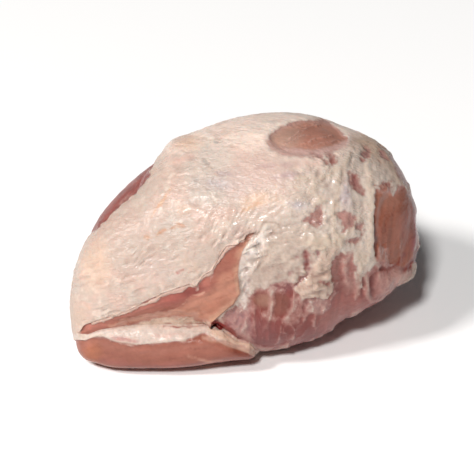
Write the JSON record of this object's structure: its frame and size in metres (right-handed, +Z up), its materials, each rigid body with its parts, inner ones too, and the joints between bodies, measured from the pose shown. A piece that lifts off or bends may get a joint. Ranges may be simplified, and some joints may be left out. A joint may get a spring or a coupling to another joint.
{
  "type": "pork leg roast",
  "caption": "Raw boneless pork leg roast, a rounded joint of meat under a pale fat cap, with a cut face and a cleft above a folded lip.",
  "frame": {"origin": "middle of the bounding box's bottom, in the plane of the flat underside that it rests on", "axes": "+Z up; +X along the roast from the tapered end to the blunt end; +Y from the cut front to the back"},
  "size_m": [0.24, 0.1666, 0.1486],
  "materials": {
    "meat": "moist raw fat, creamy to pale pink, over red-brown muscle where it is trimmed bare"
  },
  "bodies": {
    "root": {"pork_leg_roast": "meat"}
  },
  "joints": []
}
